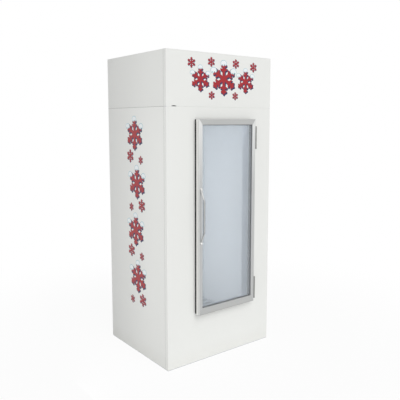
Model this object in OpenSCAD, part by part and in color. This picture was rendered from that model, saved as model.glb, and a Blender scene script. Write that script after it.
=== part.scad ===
// Upright ice merchandiser freezer: an insulated cabinet with one glass door
// and a machine compartment on top. Millimetres, +Z up, front towards -Y.
// The origin is the bottom centre of the whole part's box.

/* [Cabinet] */
// Width of the cabinet
body_w = 915; // [860:1:1100]
// Depth of the cabinet, without the door
body_d = 760; // [720:1:950]
// Height of the cabinet from the floor
body_h = 2100; // [2040:1:2400]
// Height of the machine compartment above the insulated box
head_h = 355; // [320:1:420]
// Height of the base frame under the insulated box
base_h = 60; // [50:1:100]
// Thickness of the insulated walls, from the outer skin to the liner's face
wall_t = 65; // [50:1:80]
// Thickness of the outer sheet
skin_t = 1.2; // [0.8:0.1:2]
// Thickness of the inner liner sheet
liner_t = 1; // [0.8:0.1:2]
// How far the front sheets wrap round the cabinet's corners
corner_w = 28; // [20:1:40]
// Width of the seams between outer sheets
seam_w = 2; // [1:0.5:4]
// Height of the outer sheets' lower edges above the floor
skirt_gap = 4; // [2:1:10]

/* [Door place] */
// From the cabinet's left side to the door
door_left = 224; // [120:1:260]
// From the door to the cabinet's right side
door_right = 191; // [120:1:240]
// From the floor to the door's lower edge
door_bottom = 346; // [220:1:420]
// From the door's upper edge to the seam under the head
door_top_gap = 79; // [60:1:160]
// How far the door overlaps the opening on every side
door_overlap = 17; // [14:1:26]
// Thickness of the plastic strips that line the opening
jamb_t = 2; // [1.5:0.5:4]

/* [Door] */
// Thickness of the magnetic gasket
gasket_t = 17; // [12:1:24]
// Width of the gasket
gasket_w = 15; // [10:1:18]
// How far the gasket lies inside the door's edge
gasket_inset = 1; // [0.5:0.5:3]
// Running gap between the closed gasket and the cabinet
gasket_gap = 0.3; // [0.2:0.1:0.8]
// Depth of the aluminium door frame
frame_t = 34; // [32:1:44]
// Face width of the two stiles
stile_w = 28; // [26:1:40]
// Face width of the top rail
top_rail_w = 38; // [28:1:50]
// Face width of the bottom rail
bottom_rail_w = 48; // [32:1:60]
// Depth of the frame's lip in front of the glass
lip_t = 6; // [4:0.5:8]
// How far the lip covers the glass edge
glass_cover = 10; // [6:1:12]
// Thickness of each glass pane
pane_t = 4; // [3:0.5:5]
// Thickness of the seal between lip and glass
seal_t = 2; // [1:0.5:3]
// How far the seal shows past the lip
seal_show = 2.5; // [1:0.5:4]
// Width of the spacer bars between the panes
spacer_w = 8; // [5:1:12]
// Play round the edge of the glass
glass_play = 0.5; // [0.2:0.1:1]

/* [Handle] */
// From the door's left edge to the handle's middle
handle_inset = 16; // [12:0.5:16]
// Height of the handle's middle above the floor
handle_z = 1024; // [900:1:1150]
// Distance between the handle's two screws
handle_pitch = 362; // [300:1:420]
// Length of the straight grip
grip_len = 215; // [150:1:240]
// How far the handle stands in front of the door frame
handle_reach = 36; // [28:1:50]
// Width of the handle's bar
handle_w = 10; // [8:1:14]
// Thickness of the handle's bar
handle_t = 5; // [4:0.5:7]
// Radius of the handle's round feet
foot_r = 11; // [9:0.5:12]
// Radius of the handle screws
screw_r = 2.5; // [2:0.25:3]

/* [Hinges] */
// Height of each hinge
hinge_h = 160; // [100:1:200]
// From the door's upper edge to the upper hinge's middle
upper_hinge_in = 129; // [105:1:250]
// From the door's lower edge to the lower hinge's middle
lower_hinge_in = 100; // [85:1:250]
// From the door's right edge to the hinge axis
hinge_out = 10; // [10:0.5:14]
// From the door's front face back to the hinge axis
hinge_in = 7; // [6.5:0.5:12]
// Radius of the hinge barrels
barrel_r = 6; // [4:0.25:6]
// Radius of the hinge pins
pin_r = 2.5; // [2:0.1:3]
// Thickness of the hinge plates
leaf_t = 3; // [2:0.25:3]

/* [Storage] */
// Number of slats in the floor rack
rack_slats = 9; // [5:1:12]
// Width of a slat
slat_w = 40; // [20:1:45]
// Radius of the drain spigot
drain_r = 10; // [8:0.5:14]
// Bare length of the drain spigot under the box
drain_len = 30; // [20:1:38]
// Length of the inside light
light_len = 560; // [400:1:700]
// Radius of the evaporator tube
coil_r = 4; // [3:0.5:5]
// Number of evaporator passes, always even
coil_passes = 14; // [10:2:16]

/* [Head] */
// How far the head's cover is pulled off forwards
cover_travel = 250; // [150:1:400]
// Width of the finger notch in the cover's lower edge
notch_w = 46; // [25:1:60]
// Height of the finger notch
notch_h = 6; // [4:0.5:10]
// From the cabinet's left side to the notch
notch_in = 37; // [30:1:80]
// Width of the condenser block
cond_w = 380; // [340:1:400]
// Height of the condenser block
cond_h = 250; // [232:1:270]
// Depth of the condenser block
cond_d = 50; // [40:1:60]
// Radius of the condenser fan
fan_r = 95; // [80:1:98]
// Radius of the compressor's shell
comp_r = 90; // [75:1:95]
// Height of the compressor's shell
comp_h = 190; // [175:1:220]
// Length of the control box
control_w = 180; // [150:1:200]
// Bore of the cable gland
gland_r = 5; // [4:0.5:6]
// How far the gland's nut stands behind the cabinet
gland_out = 8; // [6:1:12]

/* [Hidden] */
$fn = 48;

// Small clearances
play = 0.3;
shaft_play = 0.05;
butt_gap = 0.05;
past = 1;

// Cabinet planes
front_reach = gasket_t + frame_t + handle_reach;
front_y = (front_reach - body_d - gland_out) / 2;
back_y = front_y + body_d;
left_x = -body_w / 2;
right_x = body_w / 2;
deck_z = body_h - head_h;

// Inner faces of the liner
in_left = left_x + wall_t;
in_right = right_x - wall_t;
in_front = front_y + wall_t;
in_back = back_y - wall_t;
in_floor = base_h + wall_t;
in_top = deck_z - wall_t;

// Base frame
rail_w = 40;
rail_t = 3;

// Door rectangles, each [left, bottom, right, top]
door = [left_x + door_left, door_bottom, right_x - door_right, deck_z - door_top_gap];
opening = inset(door, door_overlap);
jamb_cut = inset(opening, -jamb_t);
lip_inner = [door[0] + stile_w, door[1] + bottom_rail_w, door[2] - stile_w, door[3] - top_rail_w];
pocket = inset(lip_inner, -glass_cover);
glass = inset(pocket, glass_play);
frame_back = front_y - gasket_t;
frame_front = frame_back - frame_t;
seal_back = frame_front + lip_t + seal_t;
pane_space = (frame_back - seal_back - 3 * pane_t) / 2;

// Handle
handle_x = door[0] + handle_inset;
handle_foot_t = 4;
toe_in = 8;
screw_head_r = 5.5;
screw_head_t = 3;
screw_depth = 10;

// Hinges
hinge_x = door[2] + hinge_out;
hinge_y = frame_front + hinge_in;
hinge_gap = 0.5;
knuckle_h = hinge_h * 0.32;
door_leaf_in = 2;
door_leaf_d = 24;
hinge_heights = [door[1] + lower_hinge_in, door[3] - upper_hinge_in];

// Evaporator coil on the back of the liner
coil_play = 0.3;
coil_side_gap = 60;
coil_floor_gap = 120;
coil_top_gap = 90;
bend_gap = 5;
tail_up = 30;
feed_gap = 25;
coil_half = in_right - coil_side_gap;
coil_low = in_floor + coil_floor_gap;
coil_high = in_top - coil_top_gap;
coil_pitch = (coil_high - coil_low) / (coil_passes - 1);
coil_bend = coil_pitch / 2 - bend_gap;
coil_y = in_back + liner_t + coil_play + coil_r;
coil_tail = deck_z + tail_up;
feed_x = -coil_half - feed_gap;

// Storage compartment
rack_edge = 10;
runner_h = 15;
runner_w = 20;
runner_count = 6;
slat_t = 6;
drain_wall = 1.5;
drain_shoulder = 2;
drain_flange_r = 18;
drain_flange_t = 2;
drain_in = 60;
drain_y = in_back - drain_in;
light_w = 30;
light_t = 10;
light_in = 12;
light_front = in_front + light_in;

// Head
post_w = 30;
post_t = 2;
post_play = 0.4;
tray_t = 3;
tray_z = deck_z + tray_t;
tray_edge = 60;
tray_front_edge = 50;
slot_h = 5;
slot_pitch = 14;
slot_edge = 45;

// Condenser, with its fan in front
cond_left = -290;
cond_right = cond_left + cond_w;
cond_in = 95;
cond_back = back_y - cond_in;
cond_front = cond_back - cond_d;
cond_passes = 8;
cond_tube_r = 4;
cond_edge = 18;
cond_pitch = (cond_h - 2 * cond_edge) / (cond_passes - 1);
cond_bend_gap = 4;
cond_tube_y = (cond_back + cond_front) / 2;
cond_stub = 25;
shroud_t = 2;
collar_t = 2;
collar_len = 36;
fan_gap = 7;
fan_x = (cond_left + cond_right) / 2;
fan_z = tray_z + cond_h / 2;
collar_front = cond_front - shroud_t - collar_len;
strap_w = 24;
strap_t = 3;
motor_r = 40;
motor_len = 60;
motor_shaft_r = 4;
hub_r = 20;
hub_len = 22;
hub_back = cond_front - shroud_t - 6;
blade_count = 5;
blade_w = 44;
blade_t = 1.5;
blade_pitch = 28;

// Compressor
comp_in = 187;
comp_x = right_x - comp_in;
comp_y = (front_y + back_y) / 2;
grommet_h = 12;
grommet_r = 11;
foot_t = 3;
foot_side = 25;
foot_short = 10;
foot_w = 2 * (comp_r + foot_side);
foot_d = 2 * (comp_r - foot_short);
foot_in = 16;
comp_z = tray_z + grommet_h + foot_t;
comp_round = 45;
band_h = 8;
band_out = 2.5;
cover_w = 60;
cover_d = 26;
cover_h = 70;

// Refrigerant lines
line_r = 4;
suction_r = 6;
line_bend = 12;
suction_up = 80;
suction_z = deck_z + suction_up;
capillary_r = 1.5;
capillary_up = 115;
capillary_z = deck_z + capillary_up;
drier_r = 14;
drier_len = 120;
drier_neck = 20;
drier_gap = 90;
drier_x = cond_right + drier_gap;
discharge_up = 20;
discharge_z = comp_z + comp_h / 2 + discharge_up;
discharge_gap = 50;
discharge_x = cond_right + discharge_gap;
liquid_z = tray_z + cond_edge;
liquid_gap = 25;
liquid_x = drier_x + liquid_gap;

// Control box
control_in = 78;
control_left = left_x + control_in;
control_back = 60;
control_y = front_y + control_back;
control_d = 110;
control_h = 150;
knob_r = 16;
knob_t = 18;
knob_shaft_r = 3;
knob_shaft_len = 14;
knob_grip_t = 8;
knob_up = 95;
knob_x = control_left + control_w * 0.7;
knob_z = tray_z + knob_up;
rocker_x = control_left + control_w * 0.28;
rocker_z = knob_z;
rocker_w = 18;
rocker_r = 12;
rocker_tilt = 10;
rocker_face = 5;
bezel_w = 30;
bezel_h = 40;
bezel_t = 6;

// Cable gland
gland_in = 57;
gland_x = right_x - gland_in;
gland_up = 40;
gland_z = deck_z + gland_up;
gland_body_r = gland_r + 4;
gland_nut_r = gland_body_r + 3;
gland_inside = 16;

white = [0.92, 0.925, 0.915];
galvanised = [0.74, 0.76, 0.78];
steel = [0.7, 0.7, 0.7];
black = [0.1, 0.1, 0.11];
copper = [0.72, 0.45, 0.3];

// A rectangle [left, bottom, right, top] drawn in by d on every side
function inset(r, d) = [r[0] + d, r[1] + d, r[2] - d, r[3] - d];

// Box between two opposite corners
module block(low, high) {
    translate(low) cube(high - low);
}

// Box over a rectangle in the XZ plane, from y0 back to y1
module slab(r, y0, y1) {
    block([r[0], y0, r[1]], [r[2], y1, r[3]]);
}

// Corner of a rectangle: 0 bottom left, 1 top left, 2 top right, 3 bottom right
function corner(r, i) = [r[i < 2 ? 0 : 2], r[i == 1 || i == 2 ? 3 : 1]];

// One mitred side of a ring between two rectangles: 0 left, 1 top, 2 right, 3 bottom.
// A hair gap at each mitre keeps the sides apart
module ring_side(side, outer, inner, y0, y1) {
    next = (side + 1) % 4;
    run = corner(outer, next) - corner(outer, side);
    ease = run / norm(run) * butt_gap;
    translate([0, y1, 0])
        rotate([90, 0, 0])
        linear_extrude(y1 - y0)
        polygon([corner(outer, side) + ease, corner(outer, next) - ease,
            corner(inner, next) - ease, corner(inner, side) + ease]);
}

module ring(outer, inner, y0, y1) {
    for (side = [0:3]) ring_side(side, outer, inner, y0, y1);
}

// Cylinder along Y from y0 back to y1
module rod_y(x, z, r, y0, y1) {
    translate([x, y1, z]) rotate([90, 0, 0]) cylinder(h = y1 - y0, r = r);
}

// Round tube along a path of square corners, with true bends. Straight runs and
// bends are separate lengths, as brazed tubing is, with a hair gap at each joint
module pipe(path, r, bend) {
    last = len(path) - 1;
    for (i = [0:last - 1]) {
        along = (path[i + 1] - path[i]) / norm(path[i + 1] - path[i]);
        start = path[i] + along * (i > 0 ? bend + butt_gap : 0);
        end = path[i + 1] - along * (i < last - 1 ? bend + butt_gap : 0);
        run = (end - start) * along;
        if (run > 0.01)
            translate(start)
                rotate([0, acos(along[2]), atan2(along[1], along[0])])
                cylinder(h = run, r = r, $fn = 24);
        if (i < last - 1) {
            out = (path[i + 2] - path[i + 1]) / norm(path[i + 2] - path[i + 1]);
            centre = path[i + 1] - along * bend + out * bend;
            side = cross(-out, along);
            multmatrix([[-out[0], along[0], side[0], centre[0]],
                [-out[1], along[1], side[1], centre[1]],
                [-out[2], along[2], side[2], centre[2]]])
                rotate_extrude(angle = 90, $fn = 48)
                translate([bend, 0])
                circle(r, $fn = 24);
        }
    }
}

// Base frame: channels open inwards
module base_rails() {
    color(galvanised)
    for (s = [0, 1]) mirror([s, 0, 0])
        difference() {
            block([left_x + skin_t, front_y + skin_t, 0],
                [left_x + skin_t + rail_w, back_y - skin_t, base_h]);
            block([left_x + skin_t + rail_t, front_y, rail_t],
                [left_x + skin_t + rail_w + past, back_y, base_h - rail_t]);
        }
}

module base_cross_rails() {
    reach = right_x - skin_t - rail_w;
    color(galvanised) {
        difference() {
            block([-reach, front_y + skin_t, 0], [reach, front_y + skin_t + rail_w, base_h]);
            block([-reach - past, front_y + skin_t + rail_t, rail_t],
                [reach + past, front_y + skin_t + rail_w + past, base_h - rail_t]);
        }
        difference() {
            block([-reach, back_y - skin_t - rail_w, 0], [reach, back_y - skin_t, base_h]);
            block([-reach - past, back_y - skin_t - rail_w - past, rail_t],
                [reach + past, back_y - skin_t - rail_t, base_h - rail_t]);
        }
    }
}

module bottom_panel() {
    color(galvanised)
    difference() {
        block([left_x + skin_t, front_y + skin_t, base_h],
            [right_x - skin_t, back_y - skin_t, base_h + skin_t]);
        drain_hole();
    }
}

// Hole for the drain tube through the floor of the box
module drain_hole() {
    translate([0, drain_y, base_h - past])
        cylinder(h = wall_t + 2 * past, r = drain_r + drain_shoulder + play);
}

// Outer sheets of the insulated box
module side_sheet(z0, z1) {
    block([left_x, front_y + corner_w + seam_w, z0], [left_x + skin_t, back_y, z1]);
}

module side_panel_left() {
    color(white) side_sheet(skirt_gap, deck_z - seam_w / 2);
}

module side_panel_right() {
    color(white) mirror([1, 0, 0]) side_sheet(skirt_gap, deck_z - seam_w / 2);
}

module back_panel() {
    color(galvanised)
    block([left_x + skin_t, back_y - skin_t, skirt_gap], [right_x - skin_t, back_y, deck_z - seam_w / 2]);
}

// Folded corner on the left: a front strip from the corner to x1 and its return along the side
module left_corner(x1, z0, z1) {
    block([left_x, front_y, z0], [x1, front_y + skin_t, z1]);
    block([left_x, front_y, z0], [left_x + skin_t, front_y + corner_w, z1]);
}

// Four lengths of front sheet, butted in line with the opening's sides
module front_panel() {
    high = deck_z - seam_w / 2;
    color(white) {
        left_corner(jamb_cut[0], skirt_gap, high);
        mirror([1, 0, 0]) left_corner(-jamb_cut[2], skirt_gap, high);
        slab([jamb_cut[0] + butt_gap, skirt_gap, jamb_cut[2] - butt_gap, jamb_cut[1]],
            front_y, front_y + skin_t);
        slab([jamb_cut[0] + butt_gap, jamb_cut[3], jamb_cut[2] - butt_gap, high],
            front_y, front_y + skin_t);
    }
}

module deck_panel() {
    color(galvanised)
    difference() {
        block([left_x + skin_t, front_y + skin_t, deck_z - skin_t],
            [right_x - skin_t, back_y - skin_t, deck_z]);
        coil_holes(deck_z - skin_t - past, deck_z + past);
    }
}

// Foamed insulation that fills the walls
module insulation() {
    color([0.93, 0.86, 0.62])
    difference() {
        block([left_x + skin_t, front_y + skin_t, base_h + skin_t],
            [right_x - skin_t, back_y - skin_t, deck_z - skin_t]);
        block([in_left - liner_t, in_front - liner_t, in_floor - liner_t],
            [in_right + liner_t, in_back + liner_t, in_top + liner_t]);
        slab(jamb_cut, front_y, in_front);
        block([feed_x - coil_r - coil_play, in_back, coil_low - coil_r - coil_play],
            [coil_half + coil_r + coil_play, coil_y + coil_r + coil_play, coil_high + coil_bend]);
        coil_holes(coil_high, deck_z);
        drain_hole();
    }
}

// Liner sheets
module liner_side() {
    block([in_left - liner_t, in_front - liner_t, in_floor - liner_t],
        [in_left, in_back + liner_t, in_top + liner_t]);
}

module liner_left() {
    color(galvanised) liner_side();
}

module liner_right() {
    color(galvanised) mirror([1, 0, 0]) liner_side();
}

module liner_back() {
    color(galvanised)
    block([in_left, in_back, in_floor - liner_t], [in_right, in_back + liner_t, in_top + liner_t]);
}

module liner_floor() {
    color(galvanised)
    difference() {
        block([in_left, in_front, in_floor - liner_t], [in_right, in_back, in_floor]);
        drain_hole();
    }
}

module liner_ceiling() {
    color(galvanised)
    block([in_left, in_front, in_top], [in_right, in_back, in_top + liner_t]);
}

// Four strips round the opening on the inside of the front wall
module liner_front() {
    low = in_floor - liner_t;
    high = in_top + liner_t;
    color(galvanised) {
        slab([in_left, low, jamb_cut[0], high], in_front - liner_t, in_front);
        slab([jamb_cut[2], low, in_right, high], in_front - liner_t, in_front);
        slab([jamb_cut[0] + butt_gap, low, jamb_cut[2] - butt_gap, jamb_cut[1]],
            in_front - liner_t, in_front);
        slab([jamb_cut[0] + butt_gap, jamb_cut[3], jamb_cut[2] - butt_gap, high],
            in_front - liner_t, in_front);
    }
}

module opening_jamb() {
    color([0.7, 0.72, 0.75]) ring(jamb_cut, opening, front_y, in_front);
}

// Evaporator: one serpentine on the back of the liner, both ends rising to the head
function coil_end(i) = i % 2 == 0 ? coil_half : -coil_half;
function coil_level(i) = coil_low + i * coil_pitch;

module coil_holes(z0, z1) {
    for (x = [feed_x, -coil_half])
        translate([x, coil_y, z0]) cylinder(h = z1 - z0, r = coil_r + coil_play);
}

module evaporator_coil() {
    passes = [for (i = [0:coil_passes - 1], j = [0, 1])
        if (i + j < coil_passes) [coil_end(i), coil_y, coil_level(i + j)]];
    color(copper)
    pipe(concat([[feed_x, coil_y, coil_tail], [feed_x, coil_y, coil_low]], passes,
        [[-coil_half, coil_y, coil_tail]]), coil_r, coil_bend);
}

// Slatted rack on the floor of the box
module floor_rack() {
    reach = in_right - rack_edge;
    rack_front = in_front + rack_edge;
    rack_d = in_back - in_front - 2 * rack_edge;
    step = (rack_d - slat_w) / (rack_slats - 1);
    slat_z = in_floor + runner_h;
    color(galvanised) {
        for (i = [0:runner_count - 1]) {
            x = -reach + i * (2 * reach - runner_w) / (runner_count - 1);
            block([x, rack_front, in_floor], [x + runner_w, rack_front + rack_d, slat_z]);
        }
        for (i = [0:rack_slats - 1])
            block([-reach, rack_front + i * step, slat_z],
                [reach, rack_front + i * step + slat_w, slat_z + slat_t]);
    }
}

// Tube through the floor, stepped down to the spigot that the hose goes over
module drain_tube() {
    low = base_h - drain_len;
    color(white)
    translate([0, drain_y, 0])
    difference() {
        union() {
            translate([0, 0, low]) cylinder(h = in_floor - low, r = drain_r);
            translate([0, 0, base_h]) cylinder(h = in_floor - base_h, r = drain_r + drain_shoulder);
            translate([0, 0, in_floor]) cylinder(h = drain_flange_t, r = drain_flange_r);
        }
        translate([0, 0, low - past])
            cylinder(h = in_floor - low + drain_flange_t + 2 * past, r = drain_r - drain_wall);
    }
}

// Light under the ceiling, behind the top of the opening
module light_housing() {
    color(steel)
    block([-light_len / 2, light_front, in_top - light_t], [light_len / 2, light_front + light_w, in_top]);
}

module light_diffuser() {
    low = in_top - light_t;
    color([0.97, 0.98, 1])
    intersection() {
        translate([-light_len / 2, light_front + light_w / 2, low])
            rotate([0, 90, 0])
            cylinder(h = light_len, r = light_w / 2 - past);
        block([-light_len, light_front, low - light_w], [light_len, light_front + light_w, low]);
    }
}

// Head: posts, skins and the cover that lifts off at the front
module head_posts() {
    outer = right_x - skin_t - post_play;
    front = front_y + skin_t + post_play;
    back = back_y - skin_t - post_play;
    color(galvanised)
    for (s = [0, 1]) mirror([s, 0, 0]) {
        angle_post(outer, front, front + post_w, front);
        angle_post(outer, back - post_w, back, back - post_t);
    }
}

// Angle post on the right: one leg along the side from y0 to y1, one leg inwards from leg_y
module angle_post(outer, y0, y1, leg_y) {
    top = body_h - skin_t;
    block([outer - post_t, y0, deck_z], [outer, y1, top]);
    block([outer - post_w, leg_y, deck_z], [outer, leg_y + post_t, top]);
}

module head_side_left() {
    color(white) side_sheet(deck_z + seam_w / 2, body_h - skin_t);
}

module head_side_right() {
    color(white) mirror([1, 0, 0]) side_sheet(deck_z + seam_w / 2, body_h - skin_t);
}

module head_top() {
    color(white) block([left_x, front_y, body_h - skin_t], [right_x, back_y, body_h]);
}

// Rear sheet with two fields of air slots
module head_back() {
    fields = [[cond_left, cond_right], [comp_x - comp_r, gland_x - 2 * gland_nut_r]];
    low = deck_z + slot_edge;
    rows = floor((head_h - 2 * slot_edge) / slot_pitch);
    color(galvanised)
    difference() {
        block([left_x + skin_t, back_y - skin_t, deck_z + seam_w / 2],
            [right_x - skin_t, back_y, body_h - skin_t]);
        for (field = fields, i = [0:rows - 1])
            slab([field[0], low + i * slot_pitch, field[1], low + i * slot_pitch + slot_h],
                back_y - skin_t - past, back_y + past);
        rod_y(gland_x, gland_z, gland_body_r + shaft_play, back_y - skin_t - past, back_y + past);
    }
}

module head_cover() {
    low = deck_z + seam_w / 2;
    high = body_h - skin_t - play;
    notch_round = (notch_w * notch_w / 4 + notch_h * notch_h) / (2 * notch_h);
    notch_x = left_x + notch_in + notch_w / 2;
    color(white)
    difference() {
        union() {
            left_corner(right_x - skin_t, low, high);
            mirror([1, 0, 0]) left_corner(0, low, high);
        }
        rod_y(notch_x, low + notch_h - notch_round, notch_round, front_y - past, front_y + skin_t + past);
    }
}

module unit_base() {
    color(galvanised)
    block([left_x + tray_edge, front_y + tray_front_edge, deck_z],
        [right_x - tray_edge, cond_back, tray_z]);
}

// Compressor pot on its foot plate and rubber mounts
module comp_feet() {
    for (x = [-1, 1], y = [-1, 1])
        translate([comp_x + x * (foot_w / 2 - foot_in), comp_y + y * (foot_d / 2 - foot_in), 0])
            children();
}

module compressor() {
    color(black)
    union() {
        translate([comp_x, comp_y, comp_z]) {
            rotate_extrude() {
                square([comp_r - comp_round, comp_h]);
                translate([0, comp_round]) square([comp_r, comp_h - 2 * comp_round]);
                for (z = [comp_round, comp_h - comp_round])
                    intersection() {
                        translate([comp_r - comp_round, z]) circle(comp_round);
                        square([comp_r, comp_h]);
                    }
            }
            translate([0, 0, comp_h / 2 - band_h / 2]) cylinder(h = band_h, r = comp_r + band_out);
        }
        translate([0, 0, comp_z - foot_t])
            block([comp_x - foot_w / 2, comp_y - foot_d / 2, 0],
                [comp_x + foot_w / 2, comp_y + foot_d / 2, foot_t]);
    }
}

module compressor_grommets() {
    color(black)
    comp_feet() translate([0, 0, tray_z]) cylinder(h = grommet_h, r = grommet_r);
}

module terminal_cover() {
    low = comp_z + comp_round;
    color(black)
    difference() {
        block([comp_x - cover_w / 2, comp_y - comp_r - cover_d, low],
            [comp_x + cover_w / 2, comp_y - comp_r + 10, low + cover_h]);
        translate([comp_x, comp_y, low - past])
            cylinder(h = cover_h + 2 * past, r = comp_r + band_out + play);
    }
}

// Condenser block with its tube passes
function cond_level(i) = tray_z + cond_edge + (cond_passes - 1 - i) * cond_pitch;

module condenser_core() {
    color([0.78, 0.79, 0.8])
    difference() {
        block([cond_left, cond_front, tray_z], [cond_right, cond_back, tray_z + cond_h]);
        for (i = [0:cond_passes - 1])
            translate([cond_left - past, cond_tube_y, cond_level(i)])
                rotate([0, 90, 0])
                cylinder(h = cond_w + 2 * past, r = cond_tube_r + shaft_play);
    }
}

module condenser_tubes() {
    bend = cond_pitch / 2 - cond_bend_gap;
    far = cond_left - bend - past;
    near = cond_right + bend + past;
    passes = [for (i = [0:cond_passes - 2], j = [0, 1])
        [i % 2 == 0 ? far : near, cond_tube_y, cond_level(i + j)]];
    ends = [cond_right + cond_stub, cond_tube_y, 0];
    color(copper)
    pipe(concat([ends + [0, 0, cond_level(0)]], passes, [ends + [0, 0, cond_level(cond_passes - 1)]]),
        cond_tube_r, bend);
}

// Fan shroud: a plate on the condenser with a collar round the blades
module fan_shroud() {
    plate_front = cond_front - shroud_t;
    ring_r = fan_r + fan_gap;
    color(galvanised)
    difference() {
        union() {
            slab([cond_left, tray_z, cond_right, tray_z + cond_h], plate_front, cond_front);
            rod_y(fan_x, fan_z, ring_r + collar_t, collar_front, plate_front);
        }
        rod_y(fan_x, fan_z, ring_r, collar_front - past, cond_front + past);
    }
}

// Motor on a strap across the collar, with its shaft
module fan_motor() {
    strap_front = collar_front - strap_t;
    half = fan_r + fan_gap + collar_t;
    color(steel)
    union() {
        slab([fan_x - half, fan_z - strap_w / 2, fan_x + half, fan_z + strap_w / 2],
            strap_front, collar_front);
        rod_y(fan_x, fan_z, motor_r, strap_front - motor_len, strap_front);
        rod_y(fan_x, fan_z, motor_shaft_r, strap_front - past, hub_back - 4);
    }
}

module fan_blade() {
    color(black)
    difference() {
        union() {
            rod_y(fan_x, fan_z, hub_r, hub_back - hub_len, hub_back);
            for (i = [0:blade_count - 1])
                translate([fan_x, hub_back - hub_len / 2, fan_z])
                    rotate([0, i * 360 / blade_count, 0])
                    rotate([0, 0, blade_pitch])
                    translate([-blade_w / 2, -blade_t / 2, hub_r - 3])
                    cube([blade_w, blade_t, fan_r - hub_r]);
        }
        rod_y(fan_x, fan_z, motor_shaft_r + shaft_play, hub_back - hub_len - past, hub_back - 3);
    }
}

// Filter drier and refrigerant lines
module filter_drier() {
    color(copper)
    translate([drier_x, coil_y, capillary_z])
        rotate([0, -90, 0])
        rotate_extrude()
        polygon([[0, 0], [line_r + 1, 0], [line_r + 1, drier_neck / 2], [drier_r, drier_neck],
            [drier_r, drier_len - drier_neck], [capillary_r + 1, drier_len - drier_neck / 2],
            [capillary_r + 1, drier_len], [0, drier_len]]);
}

module discharge_line() {
    top = cond_level(0);
    color(copper)
    pipe([[comp_x - comp_r - play, comp_y, discharge_z], [discharge_x, comp_y, discharge_z],
        [discharge_x, cond_tube_y, discharge_z], [discharge_x, cond_tube_y, top],
        [cond_right + cond_stub, cond_tube_y, top]], line_r, line_bend);
}

// Liquid line to the drier, and the capillary from it to the evaporator
module liquid_line() {
    color(copper) {
        pipe([[cond_right + cond_stub, cond_tube_y, liquid_z], [liquid_x, cond_tube_y, liquid_z],
            [liquid_x, cond_tube_y, capillary_z], [liquid_x, coil_y, capillary_z],
            [drier_x, coil_y, capillary_z]], line_r, line_bend);
        pipe([[drier_x - drier_len, coil_y, capillary_z], [feed_x, coil_y, capillary_z],
            [feed_x, coil_y, coil_tail]], capillary_r, line_bend);
    }
}

module suction_line() {
    color(copper)
    pipe([[-coil_half, coil_y, coil_tail], [-coil_half, coil_y, suction_z],
        [-coil_half, comp_y, suction_z], [comp_x - comp_r - play, comp_y, suction_z]],
        suction_r, 2 * line_bend);
}

// Control box with the thermostat's shaft and the switch's frame
module control_box() {
    right = control_left + control_w;
    color(galvanised)
    union() {
        block([control_left, control_y, tray_z], [right, control_y + control_d, tray_z + control_h]);
        rod_y(knob_x, knob_z, knob_shaft_r, control_y - knob_shaft_len, control_y + past);
        difference() {
            slab([rocker_x - bezel_w / 2, rocker_z - bezel_h / 2, rocker_x + bezel_w / 2,
                rocker_z + bezel_h / 2], control_y - bezel_t, control_y);
            slab([rocker_x - rocker_w / 2 - hinge_gap, rocker_z - rocker_r - hinge_gap,
                rocker_x + rocker_w / 2 + hinge_gap, rocker_z + rocker_r + hinge_gap],
                control_y - bezel_t - past, control_y);
        }
    }
}

module thermostat_knob() {
    knob_back = control_y - play;
    color(black)
    difference() {
        union() {
            rod_y(knob_x, knob_z, knob_r, knob_back - knob_t + knob_grip_t, knob_back);
            slab([knob_x - 3, knob_z - knob_r + 1, knob_x + 3, knob_z + knob_r - 1],
                knob_back - knob_t, knob_back);
        }
        rod_y(knob_x, knob_z, knob_shaft_r + shaft_play, control_y - knob_shaft_len - play, control_y);
    }
}

// Rocker, drawn in its off position, turning about X
module switch_rocker() {
    color("crimson")
    translate([rocker_x - rocker_w / 2, control_y - bezel_t, rocker_z])
        rotate([rocker_tilt, 0, 0])
        rotate([90, 0, 90])
        linear_extrude(rocker_w)
        polygon([[-rocker_face, -rocker_r + 1], [-rocker_face + 1.5, 0], [-rocker_face, rocker_r - 1],
            [2, rocker_r - 2], [3, 0], [2, -rocker_r + 2]]);
}

module cable_gland() {
    color(black)
    difference() {
        union() {
            rod_y(gland_x, gland_z, gland_body_r, back_y - gland_inside, back_y);
            rod_y(gland_x, gland_z, gland_nut_r, back_y - gland_inside, back_y - skin_t);
            rod_y(gland_x, gland_z, gland_nut_r, back_y, back_y + gland_out);
        }
        rod_y(gland_x, gland_z, gland_r, back_y - gland_inside - past, back_y + gland_out + past);
    }
}

// Door frame: an outer wall and a lip in front of the glass, mitred at the corners
module frame_member(side) {
    color([0.76, 0.77, 0.76])
    union() {
        ring_side(side, door, pocket, frame_front + lip_t, frame_back);
        ring_side(side, door, lip_inner, frame_front, frame_front + lip_t);
    }
}

module door_stile_handle() {
    color([0.76, 0.77, 0.76])
    difference() {
        frame_member(0);
        handle_fixings(screw_r + shaft_play, frame_front - past, frame_front + screw_depth + past);
    }
}

module door_rail_top() {
    frame_member(1);
}

module door_stile_hinge() {
    frame_member(2);
}

module door_rail_bottom() {
    frame_member(3);
}

// Triple glass unit
module pane(i) {
    front = seal_back + i * (pane_t + pane_space);
    color([0.8, 0.86, 0.9, 0.35]) slab(glass, front, front + pane_t);
}

module glass_outer() {
    pane(0);
}

module glass_middle() {
    pane(1);
}

module glass_inner() {
    pane(2);
}

module glass_spacers() {
    color(black)
    for (i = [0, 1]) {
        front = seal_back + pane_t + i * (pane_t + pane_space);
        ring(inset(glass, 1), inset(glass, 1 + spacer_w), front, front + pane_space);
    }
}

module glazing_seal() {
    color(black) ring(inset(pocket, play), inset(lip_inner, seal_show), frame_front + lip_t, seal_back);
}

module door_gasket() {
    outer = inset(door, gasket_inset);
    color(black) ring(outer, inset(outer, gasket_w), frame_back, front_y - gasket_gap);
}

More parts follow.
